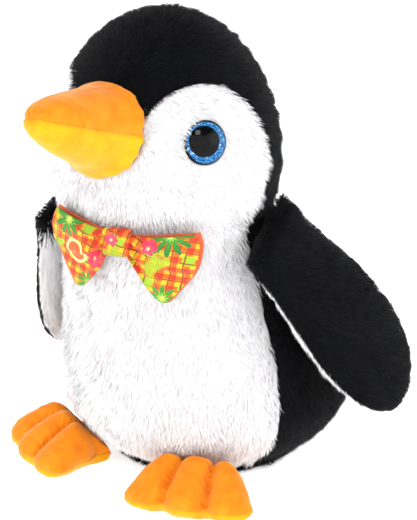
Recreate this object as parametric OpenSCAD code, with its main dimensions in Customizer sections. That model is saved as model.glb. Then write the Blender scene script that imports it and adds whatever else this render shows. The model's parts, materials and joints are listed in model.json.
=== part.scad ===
// Plush penguin: a sewn, fibre-filled toy with a head that twists at the neck, two wings
// that lift at their root seams, two feet that flex at the heel and a bow tie that swivels.
// Frame: +Z up, the toy faces -Y, its own left side is +X, and z = 0 is the surface it
// stands on, with the origin at the centre of the flat base. Every length below is for a
// toy 400 mm tall; toy_height scales the whole model.

/* [Whole toy] */
// Height from the table to the crown
toy_height = 400; // [250:10:600]
// Thickness of the long plush: backing cloth and pile together
pile = 7; // [4:0.5:9]

/* [Head] */
// Half width of the head at its widest
head_half_width = 96; // [92:1:102]
// Height of the level at which the head is widest
cheek_z = 275; // [270:1:280]
// How far the head's centre sits in front of the base's centre
head_forward = 58; // [52:1:62]
// Width of the neck seam
neck_width = 176; // [160:2:180]

/* [Beak] */
// Half width of the beak where it is sewn to the face
beak_radius = 40; // [30:1:42]
// Length of the beak from that seam to its tip
beak_length = 90; // [60:1:120]
// Upward tilt of the beak's root in degrees
beak_pitch = 17; // [15:1:20]

/* [Eyes] */
// Diameter of each safety eye
eye_diameter = 35; // [24:1:36]
// Height of the clear dome above its flange
eye_dome = 8; // [5:0.5:11]

/* [Wings] */
// Length of a wing from its root seam to its tip
wing_length = 182; // [150:2:200]
// Greatest width of a wing
wing_width = 110; // [90:1:114]
// Greatest thickness of a filled wing
wing_thickness = 36; // [24:1:40]
// How far the hanging left wing stands out from the vertical, in degrees
left_hang = 27; // [18:1:40]
// How far the hanging right wing stands out from the vertical, in degrees
right_hang = 18; // [18:1:40]
// How far the hanging wings sweep back, in degrees
wing_sweep = 29; // [20:1:32]

/* [Feet] */
// Length of a foot from its heel seam to the middle toe
foot_length = 70; // [60:2:90]
// Width of a foot across its toes
foot_width = 120; // [100:2:122]
// Height of a filled foot
foot_height = 36; // [24:1:38]
// How far the left foot turns out, in degrees
left_splay = 16; // [12:1:30]
// How far the right foot turns out, in degrees
right_splay = 33; // [30:1:42]

/* [Bow tie] */
// Width of the bow tie from tip to tip
bow_width = 114; // [90:2:130]
// Height of a loop at its outer edge
bow_loop_height = 66; // [40:2:76]
// How far round the neck the bow tie is sewn, towards the toy's left, in degrees
bow_azimuth = 13; // [0:1:16]

/* [Hidden] */

black = "#101114";
white = "#f2f0f5";
orange = "#ff9a14";
yellow = "#ffb61e";
filling = "#e8e6df";

design_height = 400;
velour = 2;            // thickness of the short velour on beak and feet
clearance = 0.3;       // gap left between pieces that move past each other
fill_gap = 1.5;        // room between a faceted skin and its filling

// Body, from the base's edge up: height, half width, how far forward the centre sits, and
// the share of the half width that the rump adds behind.
neck_z = 236;
base_edge_z = 14;
base_edge_r = 84;
base_flat_r = 48;
body_rows = [
    [14, 84, 0, 0], [32, 108, 0, 0.08], [60, 121, 0, 0.12], [100, 118, 8, 0.13], [140, 108, 22, 0.1],
    [180, 98, 37, 0.05], [212, 91, 50, 0.01], [236, neck_width / 2, head_forward, 0]
];
body_steps = 16;
panel_steps = 14;

// Head: half an ellipsoid above the cheeks' level and a flatter one below it, cut at the
// neck. The panels are measured along rays from a point a little above that level.
head_lift = 15;
head_up = design_height - cheek_z;
head_down = (cheek_z - neck_z) / sqrt(1 - pow(neck_width / 2 / head_half_width, 2));
eye_azimuth = 57;
eye_latitude = 12;
eye_socket = 5.5;      // depth of the pile that the eye presses down
shank_r = 3;
shank_length = 17;
washer_r = 10;
head_steps = 6;

function unit(v) = v / norm(v);
function lerp(a, b, t) = a + (b - a) * t;

// Smooth curve through rows of values whose first entry is the place along the curve.
function row_of(rows, x, i = 0) =
    (i >= len(rows) - 2 || x <= rows[i + 1][0]) ? i : row_of(rows, x, i + 1);
function slope(rows, i) =
    let (a = max(i - 1, 0), b = min(i + 1, len(rows) - 1))
    (rows[b] - rows[a]) / (rows[b][0] - rows[a][0]);
function along(rows, x) =
    let (
        i = row_of(rows, x),
        h = rows[i + 1][0] - rows[i][0],
        t = (x - rows[i][0]) / h
    )
    (2 * pow(t, 3) - 3 * pow(t, 2) + 1) * rows[i]
    + (pow(t, 3) - 2 * pow(t, 2) + t) * h * slope(rows, i)
    + (3 * pow(t, 2) - 2 * pow(t, 3)) * rows[i + 1]
    + (pow(t, 3) - pow(t, 2)) * h * slope(rows, i + 1);

// A closed solid between two grids of points. Seen from outside the top grid, its rows go
// up and its columns go right. closed joins the last column to the first, as round a ring.
function flat_list(grid) = [for (row = grid) for (p = row) p];
module slab(top, bottom, closed = false) {
    n = len(top);
    m = len(top[0]);
    last = closed ? m - 1 : m - 2;
    lower = n * m;
    quads = [for (i = [0:n - 2]) for (j = [0:last]) [i * m + j, i * m + (j + 1) % m,
        (i + 1) * m + (j + 1) % m, (i + 1) * m + j]];
    function wall(a, b) = [[a, b, b + lower], [a, b + lower, a + lower]];
    faces = concat(
        [for (q = quads) for (t = [[q[0], q[3], q[2]], [q[0], q[2], q[1]]]) t],
        [for (q = quads) for (t = [[q[0], q[1], q[2]], [q[0], q[2], q[3]]]) [for (k = t) k + lower]],
        [for (j = [0:last]) each wall(j, (j + 1) % m)],
        [for (j = [0:last]) each wall((n - 1) * m + (j + 1) % m, (n - 1) * m + j)],
        closed ? [] : [for (i = [0:n - 2]) each wall((i + 1) * m, i * m)],
        closed ? [] : [for (i = [0:n - 2]) each wall(i * m + m - 1, (i + 1) * m + m - 1)]
    );
    polyhedron(concat(flat_list(top), flat_list(bottom)), faces);
}

// A closed solid from rings of points stacked from bottom to top, with flat ends.
module stack(rings) {
    n = len(rings);
    m = len(rings[0]);
    faces = concat(
        [for (i = [0:n - 2]) for (j = [0:m - 1]) let (
            a = i * m + j, b = i * m + (j + 1) % m,
            c = (i + 1) * m + (j + 1) % m, d = (i + 1) * m + j
        ) for (t = [[a, d, c], [a, c, b]]) t],
        [[for (j = [0:m - 1]) j]],
        [[for (j = [m - 1:-1:0]) (n - 1) * m + j]]
    );
    polyhedron(flat_list(rings), faces);
}

module sized() {
    scale(toy_height / design_height) children();
}

// ---- Body ----

// Point of the body's surface at height z. angle runs from 0 at the front to 180 at the
// back through the toy's left, and inset goes inwards from the tips of the pile.
function body_point(z, angle, inset) =
    let (
        p = along(body_rows, z),
        r = p[1] - inset
    )
    [r * sin(angle), -p[2] - r * cos(angle) * (abs(angle) > 90 ? 1 + p[3] : 1), z];
function side_seam(z) = lerp(64, 84, pow((z - base_edge_z) / (neck_z - base_edge_z), 1.5));
function body_z(t) = lerp(base_edge_z, neck_z - clearance / 2, t);

module body_skin(from_seam, to_seam) {
    rows = [for (i = [0:body_steps]) body_z(i / body_steps)];
    function grid(inset) = [for (z = rows) [for (j = [0:panel_steps])
        body_point(z, lerp(from_seam * side_seam(z) + (1 - abs(from_seam)) * 180,
            to_seam * side_seam(z) + (1 - abs(to_seam)) * 180, j / panel_steps), inset)]];
    slab(grid(0), grid(pile));
}

module belly_panel() {
    color(white) sized() body_skin(-1, 1);
}

module back_panel_left() {
    color(black) sized() body_skin(1, 0);
}

module back_panel_right() {
    color(black) sized() mirror([1, 0, 0]) body_skin(1, 0);
}

// Flat disc whose edge is rounded up to the belly and back panels.
module base_panel() {
    turn = base_edge_r - base_flat_r;
    color(black) sized() rotate_extrude($fn = 96) polygon(concat(
        [[0, 0], [base_flat_r, 0]],
        [for (a = [15:15:75]) [base_flat_r + turn * sin(a), base_edge_z * (1 - cos(a))]],
        [[base_edge_r, base_edge_z], [base_edge_r - pile, base_edge_z], [base_flat_r - 4, pile], [0, pile]]
    ));
}

module body_filling() {
    inset = pile + fill_gap;
    levels = concat([base_edge_z + 1, base_edge_z + 8],
        [for (i = [1:body_steps - 1]) body_z(i / body_steps)], [body_z(1)]);
    floor_ring = [for (a = [0:12:348]) [(base_flat_r - 8) * sin(a), -(base_flat_r - 8) * cos(a),
        pile + fill_gap / 2]];
    color(filling) sized() stack(concat([floor_ring],
        [for (z = levels) [for (a = [0:12:348]) body_point(z, a > 180 ? a - 360 : a, inset)]]));
}

// ---- Head ----

head_centre = [0, -head_forward, cheek_z + head_lift];
eye_dir = [sin(eye_azimuth) * cos(eye_latitude), -cos(eye_azimuth) * cos(eye_latitude),
    sin(eye_latitude)];
eye_up = unit([0, 0, 1] - sin(eye_latitude) * eye_dir);
eye_back = cross(eye_up, eye_dir);
beak_dir = [0, -cos(beak_pitch), sin(beak_pitch)];
beak_up = [0, sin(beak_pitch), cos(beak_pitch)];
beak_tall = 0.9;       // height of the beak as a share of its width
beak_angle = asin(beak_radius / head_radius(beak_dir));
neck_drop = head_centre[2] - neck_z - clearance / 2;
eye_reach = head_radius(eye_dir);
shank_angle = asin((shank_r + 0.4) / eye_reach);
socket_angle = asin((eye_diameter / 2 + 1.7) / eye_reach);

// Distance from the head's centre to its surface along d, for a half ellipsoid that is
// tall high.
function reach(d, tall) =
    let (
        a = (1 - d[2] * d[2]) / pow(head_half_width, 2) + pow(d[2] / tall, 2),
        b = head_lift * d[2] / pow(tall, 2),
        c = pow(head_lift / tall, 2) - 1
    )
    (sqrt(b * b - a * c) - b) / a;
function head_radius(d) =
    let (r = reach(d, head_up))
    head_lift + r * d[2] >= 0 ? r : reach(d, head_down);
function head_point(d, inset) = head_centre + (head_radius(d) - inset) * d;

// Direction that lies rho degrees from the eye, towards psi: 0 up, 90 to the back.
function from_eye(rho, psi) =
    cos(rho) * eye_dir + sin(rho) * (cos(psi) * eye_up + sin(psi) * eye_back);
// Directions on the beak's seam, on the centre seam and on the neck seam.
function on_beak(around) = cos(beak_angle) * beak_dir
    + sin(beak_angle) * (cos(around) * [1, 0, 0] + beak_tall * sin(around) * beak_up);
function on_centre(pitch) = [0, -cos(pitch), sin(pitch)];
function on_neck_seam(angle) = unit([neck_width / 2 * sin(angle), -neck_width / 2 * cos(angle),
    -neck_drop]);
function spread(from, to, n) = [for (i = [1:n]) lerp(from, to, i / n)];

// Colour seam between the white face and the black hood, from the beak over the eye and
// down to the neck, then the rest of the outline of each panel.
seam_front = -72;
seam_back = 136;
seam_neck = 86;        // where round the neck the colour seam ends
neck_pitch = atan2(neck_drop, neck_width / 2);
function colour_seam(psi) = from_eye(28.5 + 8.5 * pow(psi / 85, 2), psi);
seam_psi = concat([seam_front], spread(seam_front, seam_back, 22));
seam = concat([for (psi = seam_psi) colour_seam(psi)], [on_neck_seam(seam_neck)]);
seam_around = atan2(seam[0] * beak_up, seam[0][0]);
hood_outline = concat(
    [for (a = spread(seam_around, 90, 5)) on_beak(a)],
    [for (a = spread(beak_pitch + beak_angle, 180 + neck_pitch, 13)) on_centre(a)],
    [for (a = spread(180, seam_neck + 5, 6)) on_neck_seam(a)]
);
face_outline = concat(seam,
    [for (a = spread(seam_neck, 0, 8)) on_neck_seam(a)],
    [for (a = spread(-neck_pitch, beak_pitch - beak_angle, 3)) on_centre(a)],
    [for (a = spread(-90, seam_around, 6)) if (a < seam_around - 1) on_beak(a)]
);
// Directions round the eye that the face's outline is joined to.
face_psi = concat(seam_psi, spread(seam_back, 360 + seam_front - 8, len(face_outline) - len(seam_psi)));

module face_skin() {
    // The rings run from the shank's hole over the eye's socket to the edge of the panel.
    function ring(rho, inset) = [for (a = face_psi) head_point(from_eye(rho, a), inset)];
    function spoke(f, inset) = [for (i = [0:len(face_psi) - 1]) head_point(
        unit(lerp(from_eye(socket_angle, face_psi[i]), face_outline[i], f)), inset)];
    shares = [for (i = [1:head_steps]) i / head_steps];
    slab(
        concat([ring(shank_angle, eye_socket), ring(socket_angle, eye_socket),
            ring(socket_angle * 1.01, 0)], [for (f = shares) spoke(f, 0)]),
        concat([ring(shank_angle, pile), ring(socket_angle, pile),
            ring(socket_angle * 1.01, pile)], [for (f = shares) spoke(f, pile)]),
        closed = true
    );
}

module hood_skin() {
    rows = head_steps + 4;
    function grid(inset) = [for (i = [0:rows]) [for (j = [0:len(seam) - 1])
        head_point(unit(lerp(seam[j], hood_outline[j], i / rows)), inset)]];
    slab(grid(0), grid(pile));
}

module face_left() {
    color(white) sized() face_skin();
}

module face_right() {
    color(white) sized() mirror([1, 0, 0]) face_skin();
}

module hood_left() {
    color(black) sized() hood_skin();
}

module hood_right() {
    color(black) sized() mirror([1, 0, 0]) hood_skin();
}

// Turns +Z to point along d.
module aim(d) {
    rotate([0, acos(d[2]), atan2(d[1], d[0])]) children();
}

module head_filling() {
    inset = pile + fill_gap;
    latitudes = [-24, -14, -4, 6, 16, 26, 36, 46, 56, 66, 75, 83, 88];
    floor_r = neck_width / 2 - inset;
    floor_ring = [for (a = [0:12:348]) [floor_r * sin(a), -head_forward - floor_r * cos(a),
        neck_z + clearance / 2]];
    color(filling) sized() difference() {
        stack(concat([floor_ring], [for (b = latitudes) [for (a = [0:12:348])
            head_point([sin(a) * cos(b), -cos(a) * cos(b), sin(b)], inset)]]));
        for (side = [0, 1]) mirror([side, 0, 0]) shank_pocket();
    }
}

// Room in the filling for one eye's shank and its washer.
module shank_pocket() {
    translate(head_centre) aim(eye_dir) {
        translate([0, 0, eye_seat - shank_length - 1]) cylinder(r = shank_r + 1, h = 40, $fn = 48);
        translate([0, 0, washer_seat - 2.5]) cylinder(r = washer_r + 1, h = 40, $fn = 48);
    }
}

// ---- Beak ----

beak_seat = head_radius(beak_dir) * cos(beak_angle) + 3;
beak_rings = 10;
beak_blunt = 2.5;       // 2 gives a parabola; more makes the tip blunter

// Point of a blunt cone that is r round at its base and l long, a share f of the way to
// its tip. around runs from 0 at the left seam over the top to 180 at the right seam.
function beak_point(r, l, f, around) =
    let (ring = r * lerp(1, 0.012, f), s = l * (1 - pow(ring / r, beak_blunt)))
    head_centre + (beak_seat + s) * beak_dir
    + ring * cos(around) * [1, 0, 0] + beak_tall * ring * sin(around) * beak_up;

module beak_panel(from_around) {
    function grid(r, l) = [for (i = [0:beak_rings]) [for (k = [0:15])
        beak_point(r, l, i / beak_rings, from_around + 12 * k)]];
    sized() slab(grid(beak_radius, beak_length),
        grid(beak_radius - velour, beak_length - velour - 0.5));
}

module beak_upper() {
    color(orange) beak_panel(0);
}

module beak_lower() {
    color(yellow) beak_panel(180);
}

module beak_filling() {
    inset = velour + fill_gap / 2;
    rings = [for (i = [0:beak_rings]) [for (a = [0:15:345])
        beak_point(beak_radius - inset, beak_length - 2 * inset, 0.97 * i / beak_rings, a)]];
    color(filling) sized() stack(rings);
}

// ---- Eyes ----

eye_seat = eye_reach - eye_socket + 0.1;
washer_seat = eye_reach - pile - 1;
flange = 1.5;
rib_pitch = 2.4;

// Safety eye along +Z from the underside of its flange: dome, flange and ribbed shank.
module safety_eye() {
    r = eye_diameter / 2;
    ball = (r * r + eye_dome * eye_dome) / (2 * eye_dome);
    cylinder(r = r, h = flange, $fn = 96);
    intersection() {
        translate([0, 0, flange + eye_dome - ball]) sphere(r = ball, $fn = 96);
        translate([0, 0, flange]) cylinder(r = r, h = eye_dome + 1, $fn = 96);
    }
    translate([0, 0, -shank_length]) rotate_extrude($fn = 48) polygon(concat(
        [[0, 0], [shank_r - 1.2, 0], [shank_r, 2]],
        [for (i = [1:3]) each [[shank_r, 1.2 + rib_pitch * i], [shank_r + 0.35, 1.6 + rib_pitch * i],
            [shank_r, 2.4 + rib_pitch * i]]],
        [[shank_r, shank_length], [0, shank_length]]
    ));
}

// Push-on lock washer: a dished disc that grips the shank.
module lock_washer() {
    rotate_extrude($fn = 64) polygon([
        [shank_r + 0.05, -0.9], [shank_r + 1.2, -0.9], [shank_r + 2.4, -0.5], [washer_r, -0.5],
        [washer_r, 0.3], [shank_r + 0.05, 0.3]
    ]);
}

module eye_left() {
    color(black) sized() translate(head_centre) aim(eye_dir) translate([0, 0, eye_seat]) safety_eye();
}

module eye_right() {
    mirror([1, 0, 0]) eye_left();
}

module eye_washer_left() {
    color("gainsboro") sized() translate(head_centre) aim(eye_dir)
        translate([0, 0, washer_seat - 0.3]) lock_washer();
}

module eye_washer_right() {
    mirror([1, 0, 0]) eye_washer_left();
}

// ---- Wings ----

wing_root_z = 221;
wing_root_angle = 91;
wing_root_r = 11;      // half-round root that turns in front of the shoulder seam
wing_root_half = 42;   // half width of the wing at its root
wing_broad = 0.55;     // share of its length at which a wing is widest
wing_edge = 1.2;       // thickness of each panel at the edge seam
wing_rows = 11;
wing_cols = 12;
wing_root = body_point(wing_root_z, wing_root_angle, -wing_root_r - 2.5);

// Half width and half thickness at l along the wing; the root is the half-round l < 0.
function rise(x) = let (t = min(1, max(0, x))) t * t * (3 - 2 * t);
function wing_tip(l) = sqrt(max(0, 1 - pow(max(0, l / wing_length - wing_broad)
    / (1 - wing_broad), 2.6)));
function wing_half(l) = lerp(wing_root_half, wing_width / 2, rise(l / wing_length / wing_broad))
    * wing_tip(l);
function wing_swell(l) =
    l < 0 ? sqrt(max(0, pow(wing_root_r, 2) - l * l))
    : lerp(wing_root_r, wing_thickness / 2, rise(l / (0.45 * wing_length))) * wing_tip(l);
function lens(u) = sqrt(max(0, 1 - pow(abs(u), 2.6)));
wing_stations = concat([-0.995 * wing_root_r, -0.85 * wing_root_r, -0.5 * wing_root_r],
    [for (i = [0:wing_rows]) wing_length * lerp(0, 0.997, sin(90 * i / wing_rows))]);
wing_across = [for (j = [0:wing_cols]) sin(90 * (2 * j / wing_cols - 1))];

// Puts a wing, drawn with its length along +Y and its outer side up, on the left shoulder.
module on_shoulder(hang) {
    translate(wing_root) rotate([0, -hang, 0])
        multmatrix([[0, 0, 1, 0], [-1, 0, 0, 0], [0, -1, 0, 0], [0, 0, 0, 1]])
        rotate([0, 0, wing_sweep]) children();
}
module on_right_shoulder() {
    mirror([1, 0, 0]) on_shoulder(right_hang) children();
}

module wing_panel() {
    function height(l, u) = wing_edge + max(0, wing_swell(l) - wing_edge) * lens(u);
    outer = [for (l = wing_stations) [for (u = wing_across) [u * wing_half(l), l, height(l, u)]]];
    inner = [for (l = wing_stations) [for (u = wing_across)
        [u * wing_half(l), l, max(clearance / 2, height(l, u) - pile)]]];
    slab(outer, inner);
}

module wing_core() {
    inset = pile + fill_gap / 2;
    stations = [for (i = [0:8]) wing_length * lerp(0, 0.88, i / 8)];
    across = [for (j = [0:8]) sin(90 * (j / 4 - 1))];
    function half(l) = max(4, wing_half(l) - 1.3 * pile);
    function height(l, u) = 0.3 + max(0.4, wing_swell(l) - inset - 0.5) * lens(0.98 * u);
    slab([for (l = stations) [for (u = across) [u * half(l), l, height(l, u)]]],
        [for (l = stations) [for (u = across) [u * half(l), l, -height(l, u)]]]);
}

module wing_outer_left() {
    color(black) sized() on_shoulder(left_hang) wing_panel();
}

module wing_lining_left() {
    color(white) sized() on_shoulder(left_hang) mirror([0, 0, 1]) wing_panel();
}

module wing_filling_left() {
    color(filling) sized() on_shoulder(left_hang) wing_core();
}

module wing_outer_right() {
    color(black) sized() on_right_shoulder() wing_panel();
}

module wing_lining_right() {
    color(white) sized() on_right_shoulder() mirror([0, 0, 1]) wing_panel();
}

module wing_filling_right() {
    color(filling) sized() on_right_shoulder() wing_core();
}

// ---- Feet ----

foot_seam_z = 9;       // height of the seam between the upper and the sole
foot_root_r = 8;     // half-round heel that turns in front of the base's edge
foot_heel_half = 36;   // half width of the heel
left_azimuth = 36;     // where round the base the left heel is sewn
right_azimuth = 46;    // and the right one
foot_reach = base_edge_r + foot_root_r + 7;
toe_scallop = 8;       // depth of the notches between the toes
foot_rows = 8;
foot_cols = 18;
foot_stations = concat([-0.99, -0.8, -0.45, 0], [for (i = [1:foot_rows])
    sin(90 * i / foot_rows)]);

// Three rounded toes across the foot: 1 on a toe's crest, 0 in the seams between toes.
function toe(t) = pow(abs(cos(270 * t)), 0.6);
function rim(t, power) = sqrt(max(0, 1 - pow(abs(t), power)));
// Share of its height that the foot keeps as it slopes down to its toes.
function toe_slope(v) = 1 - 0.35 * rise((v - 0.35) / 0.65);
// How far the foot reaches from its heel seam.
function foot_end(t) = foot_length * (1 - 0.2 * t * t) - toe_scallop * (1 - toe(t));
function foot_xy(t, v) = v <= 0
    ? [t * foot_heel_half, v * foot_root_r]
    : [t * lerp(foot_heel_half, foot_width / 2, rise(v)), v * foot_end(t)];
function foot_top(t, v) = foot_seam_z + 0.8 + (v <= 0
    ? foot_root_r * rim(v, 2) * rim(t, 8)
    : lerp(foot_root_r, foot_height - foot_seam_z, rise(v / 0.48)) * toe_slope(v)
        * rim(v, 5) * rim(t, 8) * lerp(1, 0.55 + 0.45 * toe(t), rise(v / 0.35)));
function foot_low(t, v) = foot_seam_z - 0.8 - (v <= 0
    ? (foot_root_r - 0.8) * rim(v, 2) * rim(t, 10)
    : lerp(foot_root_r - 0.8, foot_seam_z - 0.8, rise(v / 0.15)) * rim(v, 12) * rim(t, 12));

// Puts a foot, drawn with its toes along +Y, in front of its heel seam on the left side.
module on_heel(azimuth, splay) {
    rotate([0, 0, azimuth]) translate([0, -foot_reach, 0])
        rotate([0, 0, 180 + splay - azimuth]) children();
}

// Grid over the foot's plan whose heights come from one of these, moved by lift but never
// past the seam: 1 upper's outside, 2 upper's inside, 3 sole's inside, 4 sole's outside.
function foot_height_of(kind, t, v) =
    kind == 1 ? foot_top(t, v)
    : kind == 2 ? max(foot_seam_z + 0.1, foot_top(t, v) - velour)
    : kind == 3 ? min(foot_seam_z - 0.1, foot_low(t, v) + velour)
    : foot_low(t, v);
function foot_grid(kind) = [for (v = foot_stations) [for (j = [foot_cols:-1:0])
    let (t = 1 - 2 * j / foot_cols, p = foot_xy(t, v)) [p[0], p[1], foot_height_of(kind, t, v)]]];

module foot_core() {
    inset = velour + fill_gap;
    stations = [for (i = [0:foot_rows - 1]) sin(90 * i / foot_rows)];
    function grid(up) = [for (v = stations) [for (j = [foot_cols - 1:-1:1])
        let (t = 1 - 2 * j / foot_cols, p = foot_xy(t, v))
        [p[0], p[1], up ? foot_top(t, v) - inset : foot_low(t, v) + inset]]];
    slab(grid(true), grid(false));
}

module foot_upper_left() {
    color(orange) sized() on_heel(left_azimuth, left_splay) slab(foot_grid(1), foot_grid(2));
}

module foot_sole_left() {
    color(yellow) sized() on_heel(left_azimuth, left_splay) slab(foot_grid(3), foot_grid(4));
}

module foot_filling_left() {
    color(filling) sized() on_heel(left_azimuth, left_splay) foot_core();
}

module on_right_heel() {
    mirror([1, 0, 0]) on_heel(right_azimuth, right_splay) children();
}

module foot_upper_right() {
    color(orange) sized() on_right_heel() slab(foot_grid(1), foot_grid(2));
}

module foot_sole_right() {
    color(yellow) sized() on_right_heel() slab(foot_grid(3), foot_grid(4));
}

module foot_filling_right() {
    color(filling) sized() on_right_heel() foot_core();
}

// ---- Bow tie ----

bow_z = 229;
bow_front = 93;        // how far in front of the neck's axis the loops' inner ends lie
bow_cloth = 1.2;       // thickness of each cotton layer
knot_half = 12;
bow_rows = 6;
bow_cols = 8;

// Puts the bow tie, drawn facing -Y in front of a vertical axis, on the neck.
module on_neck() {
    translate([0, -head_forward, 0]) rotate([0, 0, bow_azimuth]) children();
}

// Point of a loop, u from the knot to the outer edge and v from its lower to its upper edge.
function bow_outline(u, v) =
    let (
        inner = [knot_half + clearance, 8 * v],
        tip_low = [0.64 * bow_width / 2, -0.8 * bow_loop_height],
        tip_mid = [1.03 * bow_width / 2, -0.2 * bow_loop_height],
        tip_high = [0.93 * bow_width / 2, 0.24 * bow_loop_height],
        k = (v + 1) / 2,
        outer = pow(1 - k, 2) * tip_low + 2 * k * (1 - k) * (2 * tip_mid - (tip_low + tip_high) / 2)
            + k * k * tip_high
    )
    lerp(inner, outer, u);
function bow_depth(p) = bow_front - p[0] * p[0] / 230 + 0.13 * min(0, p[1]);
module bow_layer(forward) {
    function grid(off) = [for (i = [0:bow_rows]) [for (j = [0:bow_cols])
        let (p = bow_outline(j / bow_cols, 2 * i / bow_rows - 1))
        [p[0], -bow_depth(p) - off, bow_z + p[1]]]];
    slab(grid(forward + bow_cloth), grid(forward));
}

module bow_loop_left() {
    color("orange") sized() on_neck() bow_layer(bow_cloth + 0.1);
}

module bow_loop_right() {
    color("orange") sized() on_neck() mirror([1, 0, 0]) bow_layer(bow_cloth + 0.1);
}

module bow_backing_left() {
    color("hotpink") sized() on_neck() bow_layer(0);
}

module bow_backing_right() {
    color("hotpink") sized() on_neck() mirror([1, 0, 0]) bow_layer(0);
}

module bow_knot() {
    round_r = 4;
    side = knot_half - round_r;
    color("gold") sized() on_neck() translate([0, -bow_front - round_r + 2, bow_z]) hull()
        for (x = [-side, side], z = [-side + 1, side - 1], y = [-2, 2])
            translate([x, y, z]) sphere(r = round_r, $fn = 16);
}

belly_panel();
back_panel_left();
back_panel_right();
base_panel();
body_filling();
hood_left();
hood_right();
face_left();
face_right();
head_filling();
beak_upper();
beak_lower();
beak_filling();
eye_left();
eye_right();
eye_washer_left();
eye_washer_right();
wing_outer_left();
wing_lining_left();
wing_filling_left();
wing_outer_right();
wing_lining_right();
wing_filling_right();
foot_upper_left();
foot_sole_left();
foot_filling_left();
foot_upper_right();
foot_sole_right();
foot_filling_right();
bow_loop_left();
bow_loop_right();
bow_backing_left();
bow_backing_right();
bow_knot();
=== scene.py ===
"""Looks of a plush penguin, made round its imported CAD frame.

Lengths are in metres. Every piece is placed from the frame: from a node's own mesh, its box or
its joint.
"""

import json
import math

import bmesh
import bpy
import numpy as np
from bpy.props import FloatProperty, FloatVectorProperty, IntProperty, PointerProperty
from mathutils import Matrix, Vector


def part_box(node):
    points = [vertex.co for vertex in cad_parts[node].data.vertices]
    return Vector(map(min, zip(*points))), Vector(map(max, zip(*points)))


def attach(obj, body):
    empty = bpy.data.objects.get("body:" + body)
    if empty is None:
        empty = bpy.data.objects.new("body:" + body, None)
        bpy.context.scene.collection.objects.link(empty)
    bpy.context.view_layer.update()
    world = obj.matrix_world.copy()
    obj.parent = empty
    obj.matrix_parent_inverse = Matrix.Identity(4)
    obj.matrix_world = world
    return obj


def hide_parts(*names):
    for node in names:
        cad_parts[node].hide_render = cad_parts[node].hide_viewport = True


bl_info = {
    "name": "Plush Penguin",
    "version": (1, 0, 0),
    "blender": (4, 5, 0),
    "location": "3D View > Sidebar > Penguin",
    "description": "Plush, velour, eyes and bow tie of a sewn toy penguin, and the stage it stands on",
    "category": "Object",
}

MM = 0.001
SIDES = {"left": 1, "right": -1}
WHITE_PANELS = ("belly_panel", "face_left", "face_right")
BLACK_PANELS = ("back_panel_left", "back_panel_right", "base_panel", "hood_left", "hood_right")

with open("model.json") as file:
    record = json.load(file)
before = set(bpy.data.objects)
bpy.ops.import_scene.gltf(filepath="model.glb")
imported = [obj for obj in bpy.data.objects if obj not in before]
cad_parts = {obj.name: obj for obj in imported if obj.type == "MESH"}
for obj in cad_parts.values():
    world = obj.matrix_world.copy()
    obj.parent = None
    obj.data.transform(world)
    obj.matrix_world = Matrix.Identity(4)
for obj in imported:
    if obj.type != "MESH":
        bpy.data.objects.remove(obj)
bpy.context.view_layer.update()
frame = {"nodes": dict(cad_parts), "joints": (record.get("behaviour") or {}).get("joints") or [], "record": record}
joints = {joint["name"]: joint for joint in frame["joints"]}
body_of = {node: body for body, nodes in frame["record"]["behaviour"]["bodies"].items()
           for node in nodes}


def linear(hex_colour):
    """An sRGB hex colour as the linear values that Blender works in."""
    shares = [int(hex_colour[i:i + 2], 16) / 255 for i in (1, 3, 5)]
    return [c / 12.92 if c <= 0.04045 else ((c + 0.055) / 1.055) ** 2.4 for c in shares]


def colour_setting(name, description, hex_colour):
    return FloatVectorProperty(name=name, description=description, subtype="COLOR", size=3,
                               min=0, max=1, default=linear(hex_colour))


def length_setting(name, description, default, low, high):
    return FloatProperty(name=name, description=description, default=default, min=low, max=high,
                         subtype="DISTANCE", unit="LENGTH")


class PlushSettings(bpy.types.PropertyGroup):
    """Long plush of the body, head and wings."""

    hair_length: length_setting("Hair length", "Length of one hair of the pile",
                                8.2 * MM, 3 * MM, 15 * MM)
    hair_width: length_setting("Hair width", "Width of one drawn lock of hair at its root",
                               0.5 * MM, 0.1 * MM, 2 * MM)
    hairs_per_cm2: IntProperty(
        name="Hairs per square centimetre", description="How many locks grow on the cloth",
        default=100, min=5, max=200)
    white_tip: colour_setting("White", "Colour of the white plush", "#ffffff")
    white_root: colour_setting("White shade", "Colour of the white plush in its thin places", "#fbf9fc")
    black_tip: colour_setting("Black sheen", "Colour of the black plush where it catches light",
                              "#0c0d12")
    black_root: colour_setting("Black", "Colour of the black plush", "#030406")


class VelourSettings(bpy.types.PropertyGroup):
    """Short velour of the beak and the feet."""

    orange: colour_setting("Orange", "Colour of the upper beak and the tops of the feet", "#ea8a14")
    orange_deep: colour_setting("Deep orange", "Colour of the orange velour in its folds", "#e0780a")
    yellow: colour_setting("Yellow", "Colour of the lower beak and the soles", "#e8a212")
    yellow_deep: colour_setting("Deep yellow", "Colour of the yellow velour in its folds", "#e2930c")


class EyeSettings(bpy.types.PropertyGroup):
    """Moulded safety eyes."""

    iris: colour_setting("Iris", "Colour of the glitter paint", "#0e5796")
    glitter: colour_setting("Glitter", "Colour of the brightest flakes", "#3c9ed6")
    pupil_share: FloatProperty(
        name="Pupil share", description="Radius of the pupil as a share of the eye's radius",
        default=0.74, min=0.3, max=0.9, subtype="FACTOR")


class BowSettings(bpy.types.PropertyGroup):
    """Printed cotton bow tie."""

    square: length_setting("Square", "Side of one printed square of the check",
                           4.6 * MM, 2 * MM, 12 * MM)
    orange: colour_setting("Orange stripes", "Colour of the stripes of the check", "#dd5c0c")
    yellow: colour_setting("Yellow ground", "Colour under the stripes of the check", "#e8ae16")
    red: colour_setting("Red squares", "Colour where two stripes cross", "#c42a0c")
    leaf: colour_setting("Leaves", "Colour of the printed leaves", "#2f8a22")
    blossom: colour_setting("Blossom", "Colour of the printed blossoms", "#d93f5e")
    backing: colour_setting("Backing", "Colour of the backing cotton", "#d9633a")


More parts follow.
